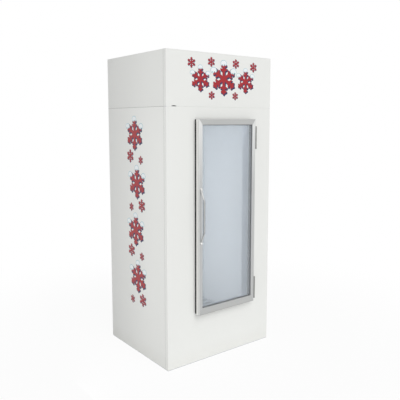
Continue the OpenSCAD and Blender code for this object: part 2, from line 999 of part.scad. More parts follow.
// Bow handle: a bent bar, drawn in profile and extruded across, with a round foot at each end
module door_handle() {
    toe = handle_pitch / 2 - toe_in;
    grip = grip_len / 2;
    back = handle_reach - handle_t;
    leg_angle = atan2(handle_reach, toe - grip);
    inner_toe = toe - handle_t / sin(leg_angle);
    inner_grip = grip - handle_t * tan(leg_angle / 2);
    color([0.8, 0.8, 0.79])
    difference() {
        union() {
            translate([handle_x - handle_w / 2, frame_front, handle_z])
                rotate([90, 0, 90])
                linear_extrude(handle_w)
                polygon([[0, -toe], [-handle_reach, -grip], [-handle_reach, grip], [0, toe],
                    [0, inner_toe], [-back, inner_grip], [-back, -inner_grip], [0, -inner_toe]]);
            handle_fixings(foot_r, frame_front - handle_foot_t, frame_front);
        }
        handle_fixings(screw_r + shaft_play, frame_front - handle_foot_t - past, frame_front + past);
    }
}

// A cylinder at each of the handle's two fixings
module handle_fixings(r, y0, y1) {
    for (s = [-1, 1]) rod_y(handle_x, handle_z + s * handle_pitch / 2, r, y0, y1);
}

module handle_screws() {
    foot_front = frame_front - handle_foot_t;
    color(steel) {
        handle_fixings(screw_head_r, foot_front - screw_head_t, foot_front);
        handle_fixings(screw_r, foot_front - screw_head_t, frame_front + screw_depth);
    }
}

// Hinge plates on the cabinet, two knuckles each
module hinge_plates() {
    plate_right = hinge_x + barrel_r;
    color(steel)
    for (z = hinge_heights)
        difference() {
            union() {
                for (low = [z - hinge_h / 2, z + hinge_h / 2 - knuckle_h])
                    translate([hinge_x, hinge_y, low]) cylinder(h = knuckle_h, r = barrel_r);
                block([plate_right - leaf_t, hinge_y, z - hinge_h / 2],
                    [plate_right, front_y, z + hinge_h / 2]);
            }
            translate([hinge_x, hinge_y, z - hinge_h / 2 + knuckle_h])
                cylinder(h = hinge_h - 2 * knuckle_h, r = barrel_r + hinge_gap);
            translate([hinge_x, hinge_y, z - hinge_h / 2 - past])
                cylinder(h = hinge_h + 2 * past, r = pin_r + shaft_play);
        }
}

// Hinge leaves on the door, one knuckle each
module hinge_leaves() {
    half = hinge_h / 2 - knuckle_h - hinge_gap;
    color(steel)
    for (z = hinge_heights)
        difference() {
            union() {
                block([door[2], frame_front + door_leaf_in, z - hinge_h / 2],
                    [door[2] + leaf_t, frame_front + door_leaf_in + door_leaf_d, z + hinge_h / 2]);
                block([door[2], hinge_y - 2, z - half], [hinge_x, hinge_y + 2, z + half]);
                translate([hinge_x, hinge_y, z - half]) cylinder(h = 2 * half, r = barrel_r);
            }
            translate([hinge_x, hinge_y, z - hinge_h / 2 - past])
                cylinder(h = hinge_h + 2 * past, r = pin_r + shaft_play);
        }
}

module hinge_pins() {
    color(steel)
    for (z = hinge_heights)
        translate([hinge_x, hinge_y, z - hinge_h / 2]) cylinder(h = hinge_h, r = pin_r);
}

base_rails();
base_cross_rails();
bottom_panel();
side_panel_left();
side_panel_right();
back_panel();
front_panel();
deck_panel();
insulation();
liner_left();
liner_right();
liner_back();
liner_floor();
liner_ceiling();
liner_front();
opening_jamb();
evaporator_coil();
floor_rack();
drain_tube();
light_housing();
light_diffuser();
head_posts();
head_side_left();
head_side_right();
head_top();
head_back();
head_cover();
unit_base();
compressor();
compressor_grommets();
terminal_cover();
condenser_core();
condenser_tubes();
fan_shroud();
fan_motor();
fan_blade();
filter_drier();
discharge_line();
liquid_line();
suction_line();
control_box();
thermostat_knob();
switch_rocker();
cable_gland();
door_stile_handle();
door_stile_hinge();
door_rail_top();
door_rail_bottom();
glass_outer();
glass_middle();
glass_inner();
glass_spacers();
glazing_seal();
door_gasket();
door_handle();
handle_screws();
hinge_plates();
hinge_leaves();
hinge_pins();
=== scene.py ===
import math

import bmesh
import bpy
from mathutils import Matrix, Vector


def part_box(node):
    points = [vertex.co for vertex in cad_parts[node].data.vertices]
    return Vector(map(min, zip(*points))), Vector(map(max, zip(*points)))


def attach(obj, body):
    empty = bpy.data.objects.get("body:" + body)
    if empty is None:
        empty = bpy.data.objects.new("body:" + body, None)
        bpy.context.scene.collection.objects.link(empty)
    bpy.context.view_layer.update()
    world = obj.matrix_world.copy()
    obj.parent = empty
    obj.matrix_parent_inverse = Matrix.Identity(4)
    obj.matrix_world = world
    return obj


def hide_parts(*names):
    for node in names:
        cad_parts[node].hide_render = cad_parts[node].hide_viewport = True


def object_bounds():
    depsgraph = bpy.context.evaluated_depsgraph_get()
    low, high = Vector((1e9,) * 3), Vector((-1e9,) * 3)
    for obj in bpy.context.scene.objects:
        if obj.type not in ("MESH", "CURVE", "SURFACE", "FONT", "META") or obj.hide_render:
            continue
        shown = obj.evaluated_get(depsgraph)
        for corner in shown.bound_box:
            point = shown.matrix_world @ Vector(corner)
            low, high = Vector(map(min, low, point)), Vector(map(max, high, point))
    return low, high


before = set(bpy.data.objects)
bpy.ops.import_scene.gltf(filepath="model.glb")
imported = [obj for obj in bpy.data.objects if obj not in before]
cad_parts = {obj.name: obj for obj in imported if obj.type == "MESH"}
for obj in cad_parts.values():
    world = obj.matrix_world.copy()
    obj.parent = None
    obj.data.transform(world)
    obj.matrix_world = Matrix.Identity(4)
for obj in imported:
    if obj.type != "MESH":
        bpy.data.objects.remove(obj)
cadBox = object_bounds()
print("frame loaded,", len(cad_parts), "nodes")

tiny = 1e-5
flatAngle = math.radians(0.5)
toFront, toBack, toTop, toFloor = (0, -1, 0), (0, 1, 0), (0, 0, 1), (0, 0, -1)


# Selecting and shaping

def deselectAll():
    if bpy.context.mode != "OBJECT":
        bpy.ops.object.mode_set(mode="OBJECT")
    bpy.ops.object.select_all(action="DESELECT")


def activate(*pieces):
    # selects the pieces and makes the first one active
    deselectAll()
    for piece in pieces:
        piece.select_set(True)
    bpy.context.view_layer.objects.active = pieces[0]


def applyPlace(piece):
    activate(piece)
    bpy.ops.object.transform_apply(location=True, rotation=True, scale=True)


def addBox(name, low, high):
    deselectAll()
    size = Vector(high) - Vector(low)
    bpy.ops.mesh.primitive_cube_add(size=1, location=Vector(low) + size / 2, scale=size)
    piece = bpy.context.object
    piece.name = name
    applyPlace(piece)
    return piece


def addRod(name, x, z, start, end, radius, sides):
    # a cylinder along Y, from start to end
    deselectAll()
    bpy.ops.mesh.primitive_cylinder_add(vertices=sides, radius=radius, depth=abs(end - start),
                                        location=(x, (start + end) / 2, z))
    piece = bpy.context.object
    piece.name = name
    piece.rotation_euler = Vector((0, end - start, 0)).to_track_quat("Z", "Y").to_euler()
    applyPlace(piece)
    return piece


def pick(piece, kind, test=None):
    # edit mode with the parts that pass the test selected, or all of them
    activate(piece)
    bpy.ops.object.mode_set(mode="EDIT")
    bpy.ops.mesh.select_mode(type=kind)
    bpy.ops.mesh.select_all(action="DESELECT" if test else "SELECT")
    if test:
        mesh = bmesh.from_edit_mesh(piece.data)
        for item in {"VERT": mesh.verts, "EDGE": mesh.edges, "FACE": mesh.faces}[kind]:
            if test(item):
                item.select_set(True)
        bmesh.update_edit_mesh(piece.data)


def endEdit():
    bpy.ops.object.mode_set(mode="OBJECT")


def middleOf(face):
    return face.calc_center_median()


def pointsTo(face, way):
    # whether the face looks this way, within 25 degrees
    return face.normal.dot(way) > 0.9


def bevelWhere(piece, width, segments, test):
    pick(piece, "EDGE", lambda edge: all(test(corner.co) for corner in edge.verts))
    bpy.ops.mesh.bevel(offset=width, segments=segments, affect="EDGES")
    endEdit()


def cutAt(piece, point, normal, clear=False):
    # a plane cut; clear removes what lies on the normal's side
    pick(piece, "FACE")
    bpy.ops.mesh.bisect(plane_co=point, plane_no=normal, use_fill=clear, clear_outer=clear, threshold=tiny)
    endEdit()


def deleteWhere(piece, test):
    pick(piece, "FACE", test)
    bpy.ops.mesh.delete(type="FACE")
    endEdit()


def extrudeWhere(piece, move, test):
    pick(piece, "FACE", test)
    bpy.ops.mesh.extrude_region_move(TRANSFORM_OT_translate={"value": move})
    endEdit()


def sinkWhere(piece, depth, test):
    # pushes faces inwards along their normals
    pick(piece, "FACE", test)
    bpy.ops.mesh.extrude_region_shrink_fatten(TRANSFORM_OT_shrink_fatten={"value": -depth})
    endEdit()


def fixNormals(piece):
    pick(piece, "FACE")
    bpy.ops.mesh.normals_make_consistent(inside=False)
    endEdit()


def useModifier(piece, kind, **settings):
    activate(piece)
    modifier = piece.modifiers.new(kind.title(), kind)
    for key, value in settings.items():
        setattr(modifier, key, value)
    bpy.ops.object.modifier_apply(modifier=modifier.name)


def roundEdges(piece, width, segments=2, angle=35):
    useModifier(piece, "BEVEL", width=width, segments=segments, limit_method="ANGLE",
                angle_limit=math.radians(angle))


def carve(piece, cutter):
    # takes the cutter's shape out of the piece
    useModifier(piece, "BOOLEAN", operation="DIFFERENCE", object=cutter, solver="EXACT")
    bpy.data.objects.remove(cutter)


def joinPieces(pieces, name):
    activate(*pieces)
    bpy.ops.object.join()
    bpy.context.object.name = name
    return bpy.context.object


def newPiece(name, data):
    piece = bpy.data.objects.new(name, data)
    bpy.context.scene.collection.objects.link(piece)
    return piece


def copyPiece(model, name, matrix):
    piece = newPiece(name, model.data.copy())
    piece.data.transform(matrix)
    return piece


def copyRound(model, name, place, angles):
    # copies turned about an axis along Y, set at the place; the model itself goes
    copies = [copyPiece(model, name, Matrix.Translation(place) @ Matrix.Rotation(math.radians(angle), 4, "Y"))
              for angle in angles]
    bpy.data.objects.remove(model)
    return copies


def evenly(start, end, count):
    return [start + (end - start) * index / (count - 1) for index in range(count)]


def fullTurn(count):
    return [360 * index / count for index in range(count)]


def dress(piece, finish, body, nodes=(), angle=35):
    # the last step of each piece: shading, finish, body and the nodes that it stands for
    activate(piece)
    bpy.ops.object.shade_smooth_by_angle(angle=math.radians(angle))
    piece.data.materials.clear()
    piece.data.materials.append(finish)
    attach(piece, body)
    if nodes:
        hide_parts(*nodes)


def softenNode(node, width, segments=2):
    # a copy of a node with merged faces and eased edges
    piece = newPiece(node + "_eased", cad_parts[node].data.copy())
    activate(piece)
    bpy.ops.mesh.customdata_custom_splitnormals_clear()
    pick(piece, "VERT")
    bpy.ops.mesh.remove_doubles(threshold=tiny)
    bpy.ops.mesh.dissolve_limited(angle_limit=flatAngle)
    endEdit()
    roundEdges(piece, width, segments)
    return piece


def easeNode(node, width, finish, body, segments=2):
    # such a copy takes the node's place
    dress(softenNode(node, width, segments), finish, body, [node])


# Finishes

def srgb(red, green, blue, alpha=1):
    # a colour as it looks on screen, from 0 to 255, as Blender's linear numbers
    def linear(value):
        share = value / 255
        return share / 12.92 if share <= 0.04045 else ((share + 0.055) / 1.055) ** 2.4
    return linear(red), linear(green), linear(blue), alpha


class Wire:
    # a shader socket that can be used in sums
    def __init__(self, tree, socket=None):
        self.tree = tree
        self.socket = socket

    def node(self, kind, settings=None, values=None, output=0):
        made = self.tree.nodes.new("ShaderNode" + kind)
        for key, value in (settings or {}).items():
            setattr(made, key, value)
        for key, value in (values or {}).items():
            if isinstance(value, Wire):
                self.tree.links.new(value.socket, made.inputs[key])
            else:
                made.inputs[key].default_value = value
        return Wire(self.tree, made.outputs[output])

    def maths(self, operation, first, second=0.0):
        return self.node("Math", {"operation": operation}, {0: first, 1: second})

    def __add__(self, other):
        return self.maths("ADD", self, other)

    def __radd__(self, other):
        return self.maths("ADD", other, self)

    def __mul__(self, other):
        return self.maths("MULTIPLY", self, other)

    def __rmul__(self, other):
        return self.maths("MULTIPLY", other, self)

    def __gt__(self, other):
        return self.maths("GREATER_THAN", self, other)

    def __abs__(self):
        return self.maths("ABSOLUTE", self)

    def orMore(self, other):
        return self.maths("MAXIMUM", self, other)

    def mix(self, first, second):
        # two colours, mixed by this number
        return self.node("Mix", {"data_type": "RGBA"}, {0: self, 6: first, 7: second}, output=2)

    def fade(self, start, end, first, last, shape="LINEAR"):
        # first up to the start, last from the end on
        return self.node("MapRange", {"interpolation_type": shape},
                         {0: self, 1: start, 2: end, 3: first, 4: last})

    def noise(self, scale, detail=2.0):
        return self.node("TexNoise", {}, {"Vector": self, "Scale": scale, "Detail": detail})

    def stretched(self, scales):
        return self.node("Mapping", {}, {"Vector": self, "Scale": scales})

    def axis(self, index):
        return self.node("SeparateXYZ", {}, {0: self}, output=index)

    def to(self, node, socket):
        self.tree.links.new(self.socket, node.inputs[socket])


def newFinish(name, constants):
    # a material, its shader, and a wire that carries the place on the piece
    material = bpy.data.materials.new(name)
    material.use_nodes = True
    shader = material.node_tree.nodes["Principled BSDF"]
    for socket, value in constants.items():
        shader.inputs[socket].default_value = value
    return material, shader, Wire(material.node_tree).node("TexCoord", output=3)


def addBump(shader, height, distance, strength=1.0):
    bump = height.node("Bump", {}, {"Strength": strength, "Distance": distance, "Height": height})
    bump.to(shader, "Normal")


def paintedSheet(name, look):
    # powder coat: a slight drift of tone, fine peel in the gloss, a little dust low down
    look = {"dustScale": 14.0, "dustShare": 0.5, "glossDrift": 0.08, **look}
    material, shader, place = newFinish(name, {"Specular IOR Level": look["specular"]})
    drift = place.noise(look["driftScale"], 3.0)
    tone = drift.mix(look["dark"], look["light"])
    low = place.axis(2).fade(0.0, look["dustHeight"], look["dustShare"], 0.0)
    (low * place.noise(look["dustScale"])).mix(tone, look["dust"]).to(shader, "Base Color")
    (look["roughness"] + look["glossDrift"] * drift).to(shader, "Roughness")
    addBump(shader, place.noise(look["peelScale"], 1.0), look["peelDepth"])
    return material


def zincSheet(name, look):
    # galvanised sheet: spangles of slightly different tone
    material, shader, place = newFinish(name, {"Metallic": 1.0})
    wander = place.noise(look["wanderScale"])
    spangle = place.node("TexVoronoi", {}, {"Vector": place, "Scale": look["spangleScale"]}, output=1)
    cell = spangle.node("SeparateColor", {}, {0: spangle})
    mask = cell * look["cellShare"] + (1 - look["cellShare"]) * wander
    mask.mix(look["dark"], look["light"]).to(shader, "Base Color")
    (look["roughness"] + look["glossDrift"] * cell).to(shader, "Roughness")
    addBump(shader, wander, look["bumpDepth"], look["bumpStrength"])
    return material


def satinMetal(name, look):
    # satin metal: the higher the grain's scale on an axis, the finer the grain along it; optionally with
    # painted shade low down and a painted highlight on faces turned left or right
    look = {"grainShare": 0.6, "glossDrift": 0.12, "grainDepth": 0.0001, "grainStrength": 0.35, **look}
    material, shader, place = newFinish(name, {"Metallic": 1.0})
    grain = place.stretched(look["grain"]).noise(1.0, 3.0)
    cloud = place.noise(look["cloudScale"])
    tone = (grain * look["grainShare"] + (1 - look["grainShare"]) * cloud).mix(look["dark"], look["light"])
    # painted shade: the tone darkens towards the bottom to the "low" colour, so the upper part looks more
    # brightly lit
    if "low" in look:
        tone = place.axis(2).fade(look["lowTo"], look["paintedShadeEnd"], 1.0, 0.0).mix(tone, look["low"])
    if "side" in look:
        # painted highlight: faces turned to the left or right are painted lighter
        facing = place.node("TexCoord", output=1)
        tone = (abs(facing.axis(0)) > look["sideFrom"]).mix(tone, look["side"])
    tone.to(shader, "Base Color")
    (look["roughness"] + look["glossDrift"] * grain).to(shader, "Roughness")
    addBump(shader, grain, look["grainDepth"], look["grainStrength"])
    return material


def mouldedPlastic(name, look):
    # moulded or coated parts: fine texture, slight drift of tone
    look = {"specular": 0.5, "glossDrift": 0.1, "cloudDetail": 3.0, "textureDetail": 2.0, **look}
    material, shader, place = newFinish(name, {"Specular IOR Level": look["specular"]})
    cloud = place.noise(look["cloudScale"], look["cloudDetail"])
    cloud.mix(look["dark"], look["light"]).to(shader, "Base Color")
    (look["roughness"] + look["glossDrift"] * cloud).to(shader, "Roughness")
    addBump(shader, place.noise(look["textureScale"], look["textureDetail"]), look["textureDepth"])
    return material


def printedVinyl(name, light, dark):
    # printed film: smooth, with the faint mottle of ink
    return mouldedPlastic(name, {
        "light": light, "dark": dark, "cloudScale": 26.0, "cloudDetail": 4.0, "textureScale": 420.0,
        "textureDetail": 1.0, "textureDepth": 0.00004, "roughness": 0.3})


def doorGlass(name, look):
    # insulating glass: faintly tinted and faintly hazy
    look = {"specular": 0.6, "hazeScale": 3.0, "roughness": 0.05, "glossDrift": 0.06, **look}
    material, shader, place = newFinish(name, {"Specular IOR Level": look["specular"]})
    haze = place.noise(look["hazeScale"], 3.0)
    haze.mix(look["dark"], look["light"]).to(shader, "Base Color")
    (look["roughness"] + look["glossDrift"] * haze).to(shader, "Roughness")
    (look["alpha"] + look["alphaDrift"] * haze).to(shader, "Alpha")
    return material


def opalLamp(name, look):
    # lit diffuser: brighter along its middle
    material, shader, place = newFinish(name, {"Roughness": look["roughness"],
                                               "Emission Strength": look["strength"]})
    toEnds = abs(place.axis(0)).fade(look["half"] * look["evenShare"], look["half"], 0.0, 1.0)
    for socket in ("Emission Color", "Base Color"):
        toEnds.mix(look["middle"], look["ends"]).to(shader, socket)
    return material


paint = paintedSheet("whitePaint", {
    "light": srgb(238, 239, 236), "dark": srgb(234, 235, 232), "dust": srgb(222, 221, 214),
    "dustHeight": 0.12, "driftScale": 1.4, "peelScale": 620.0, "peelDepth": 0.00006, "roughness": 0.36,
    "specular": 0.45})
linerPaint = paintedSheet("linerPaint", {
    "light": srgb(224, 229, 233), "dark": srgb(218, 223, 228), "dust": srgb(206, 209, 212),
    "dustHeight": 0.2, "driftScale": 2.0, "peelScale": 420.0, "peelDepth": 0.00008, "roughness": 0.42,
    "specular": 0.4})
zinc = zincSheet("galvanisedSheet", {
    "light": srgb(201, 205, 208), "dark": srgb(186, 190, 194), "spangleScale": 130.0, "wanderScale": 78.0,
    "cellShare": 0.7, "roughness": 0.38, "glossDrift": 0.08, "bumpDepth": 0.0002, "bumpStrength": 0.4})
# lit and shaded copies of one anodised aluminium: the uprights are painted lighter than the rails, with
# painted shade low down ("low") and a painted highlight on their side faces ("side")
litUprightAluminium = satinMetal("anodisedUprightLit", {
    "light": srgb(232, 233, 232), "dark": srgb(220, 221, 220), "grain": (500, 500, 4), "cloudScale": 3.0,
    "roughness": 0.3, "low": srgb(192, 193, 193), "lowTo": 1.2, "paintedShadeEnd": 1.62, "side": srgb(244, 244, 243),
    "sideFrom": 0.8})
shadedRailAluminium = satinMetal("anodisedRailShaded", {
    "light": srgb(194, 195, 194), "dark": srgb(181, 182, 181), "grain": (4, 500, 500), "cloudScale": 3.0,
    "roughness": 0.3})
handleSteel = satinMetal("handleSteel", {
    "light": srgb(204, 204, 203), "dark": srgb(190, 190, 189), "grain": (600, 600, 8), "cloudScale": 6.0,
    "roughness": 0.2})
capSteel = satinMetal("capSteel", {
    "light": srgb(236, 236, 234), "dark": srgb(222, 222, 220), "grain": (40, 40, 40), "cloudScale": 6.0,
    "roughness": 0.16})
hingeSteel = satinMetal("hingeSteel", {
    "light": srgb(152, 152, 150), "dark": srgb(132, 132, 130), "grain": (500, 500, 12), "cloudScale": 9.0,
    "roughness": 0.28})
motorSteel = satinMetal("motorSteel", {
    "light": srgb(170, 172, 174), "dark": srgb(140, 142, 145), "grain": (60, 700, 60), "cloudScale": 20.0,
    "roughness": 0.36})
finMetal = satinMetal("finAluminium", {
    "light": srgb(214, 216, 218), "dark": srgb(190, 192, 195), "grain": (40, 40, 300), "cloudScale": 12.0,
    "roughness": 0.3})
copper = satinMetal("drawnCopper", {
    "light": srgb(205, 140, 108), "dark": srgb(168, 100, 72), "grain": (90, 90, 90), "cloudScale": 16.0,
    "roughness": 0.24})
rubber = mouldedPlastic("softRubber", {
    "light": srgb(50, 50, 50), "dark": srgb(40, 40, 40), "cloudScale": 12.0, "textureScale": 500.0,
    "textureDepth": 0.00012, "roughness": 0.6, "specular": 0.3})
beadRubber = mouldedPlastic("beadRubber", {
    "light": srgb(122, 122, 123), "dark": srgb(112, 112, 113), "cloudScale": 12.0, "textureScale": 500.0,
    "textureDepth": 0.0001, "roughness": 0.6, "specular": 0.3})
sealant = mouldedPlastic("greySealant", {
    "light": srgb(176, 176, 174), "dark": srgb(160, 160, 158), "cloudScale": 15.0, "textureScale": 300.0,
    "textureDepth": 0.0001, "roughness": 0.6, "specular": 0.3})
blackEnamel = mouldedPlastic("blackEnamel", {
    "light": srgb(46, 46, 48), "dark": srgb(34, 34, 36), "cloudScale": 9.0, "textureScale": 300.0,
    "textureDepth": 0.00008, "roughness": 0.26})
blackPlastic = mouldedPlastic("blackPlastic", {
    "light": srgb(52, 52, 55), "dark": srgb(40, 40, 42), "cloudScale": 10.0, "textureScale": 900.0,
    "textureDepth": 0.0001, "roughness": 0.42})
redPlastic = mouldedPlastic("redPlastic", {
    "light": srgb(196, 40, 38), "dark": srgb(180, 30, 30), "cloudScale": 20.0, "textureScale": 700.0,
    "textureDepth": 0.00003, "roughness": 0.25})
jambPlastic = mouldedPlastic("jambPlastic", {
    "light": srgb(204, 210, 219), "dark": srgb(196, 203, 213), "cloudScale": 5.0, "textureScale": 600.0,
    "textureDepth": 0.00008, "roughness": 0.4})
drainPlastic = mouldedPlastic("drainPlastic", {
    "light": srgb(232, 232, 230), "dark": srgb(222, 222, 220), "cloudScale": 12.0, "textureScale": 500.0,
    "textureDepth": 0.00006, "roughness": 0.4})
spacerBar = mouldedPlastic("spacerBar", {
    "light": srgb(34, 35, 37), "dark": srgb(26, 27, 29), "cloudScale": 20.0, "textureScale": 500.0,
    "textureDepth": 0.00006, "roughness": 0.5})
foam = mouldedPlastic("rigidFoam", {
    "light": srgb(236, 221, 168), "dark": srgb(220, 202, 146), "cloudScale": 30.0, "textureScale": 260.0,
    "textureDepth": 0.0008, "roughness": 0.85, "specular": 0.2})
vinylRed = printedVinyl("vinylRed", srgb(172, 26, 36), srgb(160, 20, 30))
vinylNavy = printedVinyl("vinylNavy", srgb(42, 46, 92), srgb(32, 35, 76))
vinylSnow = printedVinyl("vinylSnow", srgb(246, 249, 250), srgb(236, 242, 245))
vinylIce = printedVinyl("vinylIce", srgb(166, 206, 216), srgb(150, 194, 206))
outerGlass = doorGlass("outerGlass", {
    "light": srgb(224, 230, 235), "dark": srgb(214, 221, 227), "alpha": 0.155, "alphaDrift": 0.05})
innerGlass = doorGlass("innerGlass", {
    "light": srgb(220, 227, 233), "dark": srgb(211, 219, 226), "alpha": 0.07, "alphaDrift": 0.03})
opal = opalLamp("opalDiffuser", {
    "middle": srgb(250, 252, 255), "ends": srgb(226, 232, 240), "half": 0.28, "evenShare": 0.8,
    "strength": 7.0, "roughness": 0.4})
print("finishes made")


# Studio: white surroundings for the camera, soft even light for the object

studio = {
    "white": (1, 1, 1, 1), "worldStrength": 0.57, "floorSize": 60.0, "floorDrop": 0.0005,
    "floorColour": srgb(234, 234, 234), "floorRoughness": 0.9, "floorShow": 0.92, "floorFade": (1.0, 2.8),
    "keyPlace": (0, -4, 5), "keyStrength": 1.34, "keyAngle": 50.0, "keyTurn": -3.0, "keyRise": 36.0,
    "sideEnergy": 1.4, "sideSize": (0.3, 2.2), "sideAway": 0.55, "sideBack": 0.06,
    "insideEnergy": 4.0, "insideLeft": 0.17, "insideMargin": 0.03, "insideTurn": -48.0,
}


def showsBackground(wire):
    # 1 for rays that should see the plain background: camera, mirror and glass rays
    seen, mirrored, through = [wire.node("LightPath", output=ray) for ray in (
        "Is Camera Ray", "Is Glossy Ray", "Is Transmission Ray")]
    return seen.orMore(mirrored).orMore(through)


def makeWorld():
    world = bpy.data.worlds.new("studio")
    bpy.context.scene.world = world
    world.use_nodes = True
    tree = world.node_tree
    tree.nodes.clear()
    wire = Wire(tree)
    light = wire.node("Background", {}, {"Color": studio["white"], "Strength": studio["worldStrength"]})
    plain = wire.node("Background", {}, {"Color": studio["white"], "Strength": 1.0})
    both = wire.node("MixShader", {}, {0: showsBackground(wire), 1: light, 2: plain})
    both.to(tree.nodes.new("ShaderNodeOutputWorld"), "Surface")


def makeFloor():
    deselectAll()
    bpy.ops.mesh.primitive_plane_add(size=studio["floorSize"], location=(0, 0, -studio["floorDrop"]))
    floor = bpy.context.object
    floor.name = "studioFloor"
    material, shader, place = newFinish("studioFloor", {
        "Base Color": studio["floorColour"], "Roughness": studio["floorRoughness"],
        "Specular IOR Level": 0.0})
    matt = Wire(material.node_tree, shader.outputs[0])
    glow = place.node("Emission", {}, {"Color": studio["white"], "Strength": 1.0})
    away = place.node("VectorMath", {"operation": "LENGTH"}, {0: place}, output=1)
    shown = showsBackground(place) * away.fade(*studio["floorFade"], studio["floorShow"], 1.0, "SMOOTHSTEP")
    both = place.node("MixShader", {}, {0: shown, 1: matt, 2: glow})
    both.to(material.node_tree.nodes["Material Output"], "Surface")
    floor.data.materials.append(material)


def addPanelLight(name, place, turn, size, energy):
    # an upright rectangle of light that no camera or mirror ray sees; with no turn it faces the back
    deselectAll()
    bpy.ops.object.light_add(type="AREA", location=place, rotation=(math.pi / 2, 0, math.radians(turn)))
    lamp = bpy.context.object
    lamp.name = name
    lamp.data.shape = "RECTANGLE"
    lamp.data.size, lamp.data.size_y = size
    lamp.data.energy = energy
    lamp.visible_camera = False
    lamp.visible_glossy = False
    lamp.visible_transmission = False


def makeLights():
    deselectAll()
    bpy.ops.object.light_add(type="SUN", location=studio["keyPlace"])
    key = bpy.context.object
    key.name = "keyLight"
    key.data.energy = studio["keyStrength"]
    key.data.angle = math.radians(studio["keyAngle"])
    key.rotation_euler = (math.radians(90 - studio["keyRise"]), 0, math.radians(studio["keyTurn"]))
    # a tall soft strip beside the front left corner
    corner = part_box("side_panel_left")[0]
    beside = (corner.x - studio["sideAway"], corner.y + studio["sideBack"], cadBox[1].z / 2)
    addPanelLight("sideLight", beside, -90, studio["sideSize"], studio["sideEnergy"])
    # the cabinet's own light: a tall sheet left of the middle, turned towards the right rear corner
    low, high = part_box("liner_right")
    size = high - low - 2 * studio["insideMargin"] * Vector((1, 1, 1))
    inside = (-studio["insideLeft"], (low.y + high.y) / 2, (low.z + high.z) / 2)
    addPanelLight("insideLight", inside, studio["insideTurn"], (size.y, size.z), studio["insideEnergy"])


makeWorld()
makeFloor()
makeLights()

viewpoint = {"place": (-2.312, -3.0895, 1.65), "turn": -37.675, "drop": 6.802, "lens": 47.15, "sensor": 36,
             "shift": -0.04}


def makeCamera():
    # stands in front of the cabinet's left corner, at eye height, looking slightly down
    turn, drop = math.radians(viewpoint["turn"]), math.radians(viewpoint["drop"])
    back = Vector((math.sin(turn) * math.cos(drop), -math.cos(turn) * math.cos(drop), math.sin(drop)))
    bpy.ops.object.camera_add(location=viewpoint["place"])
    camera = bpy.context.object
    camera.name = "viewCamera"
    camera.rotation_euler = back.to_track_quat("Z", "Y").to_euler()
    camera.data.lens = viewpoint["lens"]
    camera.data.sensor_width = viewpoint["sensor"]
    camera.data.shift_y = viewpoint["shift"]
    bpy.context.scene.camera = camera


makeCamera()
bpy.context.scene.view_settings.view_transform = "Standard"
print("studio and camera made")


# Outer sheets of the box and the head

seams = {"wide": 0.002, "depth": 0.0007, "back": 0.0004, "ease": 0.0002}
sheets = {"fold": 0.003, "foldSteps": 5, "thickness": 0.0012, "edge": 0.0004, "flange": 0.012,
          "flangeEnd": 0.038, "foldIn": 0.006, "stepBack": 0.0006, "stepDown": 0.004, "stepUp": 0.0017}


def foldedSheet(name, low, high):
    # a front sheet with a return on both sides, still without thickness
    piece = addBox(name, low, high)
    deleteWhere(piece, lambda face: any(pointsTo(face, way) for way in (toBack, toTop, toFloor)))
    bevelWhere(piece, sheets["fold"], sheets["foldSteps"], lambda at: at.y < low.y + tiny)
    return piece


def makeFrontSheet():
    low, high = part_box("front_panel")
    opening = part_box("opening_jamb")
    piece = foldedSheet("frontSheet", low, high)
    for way in ((1, 0, 0), toTop):
        for corner in opening:
            cutAt(piece, corner, way)
    deleteWhere(piece, lambda face: pointsTo(face, toFront)
                and opening[0].x < middleOf(face).x < opening[1].x
                and opening[0].z < middleOf(face).z < opening[1].z)
    useModifier(piece, "SOLIDIFY", thickness=sheets["thickness"], offset=-1)
    # the upper edge is set back and runs on behind the seam
    back = low.y + sheets["stepBack"]
    step = addBox("frontStep", (low.x + sheets["foldIn"], back, high.z - sheets["stepDown"]),
                  (high.x - sheets["foldIn"], back + sheets["thickness"], high.z + sheets["stepUp"]))
    roundEdges(step, sheets["edge"])
    dress(joinPieces([piece, step], "frontSheet"), paint, "cabinet", ["front_panel"])


notch = {"left": 0.037, "width": 0.046, "height": 0.006, "cut": 0.01}


def makeHeadCover():
    low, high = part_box("head_cover")
    piece = foldedSheet("headCover", low, high)
    useModifier(piece, "SOLIDIFY", thickness=sheets["thickness"], offset=-1)
    # the finger notch is the top of a wide circle
    radius = (notch["width"] ** 2 / 4 + notch["height"] ** 2) / (2 * notch["height"])
    middle = low.x + notch["left"] + notch["width"] / 2
    carve(piece, addRod("notchCutter", middle, low.z + notch["height"] - radius, low.y - notch["cut"],
                        low.y + notch["cut"], radius, 96))
    # a narrow return along the lower edge, clear of the notch and the corner posts
    flange = addBox("coverFlange", (middle + notch["width"], low.y + sheets["thickness"] / 2, low.z),
                    (high.x - sheets["flangeEnd"], low.y + sheets["flange"], low.z + sheets["thickness"]))
    roundEdges(flange, sheets["edge"])
    dress(joinPieces([piece, flange], "headCover"), paint, "head_cover", ["head_cover"])


def makeSeams():
    # grey sealant set back in the seams round the side sheets
    depth, back = seams["depth"], seams["back"]
    strips = []
    for box, head, inward in ((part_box("side_panel_left"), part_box("head_side_left"), 1),
                              (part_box("side_panel_right"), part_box("head_side_right"), -1)):
        outer = box[0].x if inward > 0 else box[1].x
        near, far = sorted((outer + inward * back, outer + inward * (back + depth)))
        for low, high in (((box[0].y - seams["wide"], box[0].z), (box[0].y, head[1].z)),
                          ((box[0].y, box[1].z), (box[1].y, head[0].z))):
            strips.append(addBox("seam", (near, *low), (far, *high)))
    seal = joinPieces(strips, "seamSealant")
    roundEdges(seal, seams["ease"])
    dress(seal, sealant, "cabinet")


makeFrontSheet()
makeHeadCover()
makeSeams()
for sheetNode in ("side_panel_left", "side_panel_right", "head_side_left", "head_side_right", "head_top"):
    easeNode(sheetNode, sheets["edge"], paint, "cabinet")
print("outer sheets made")


# Printed vinyl: plain six-armed snow crystals, with a little snow on the upper arms of the larger ones

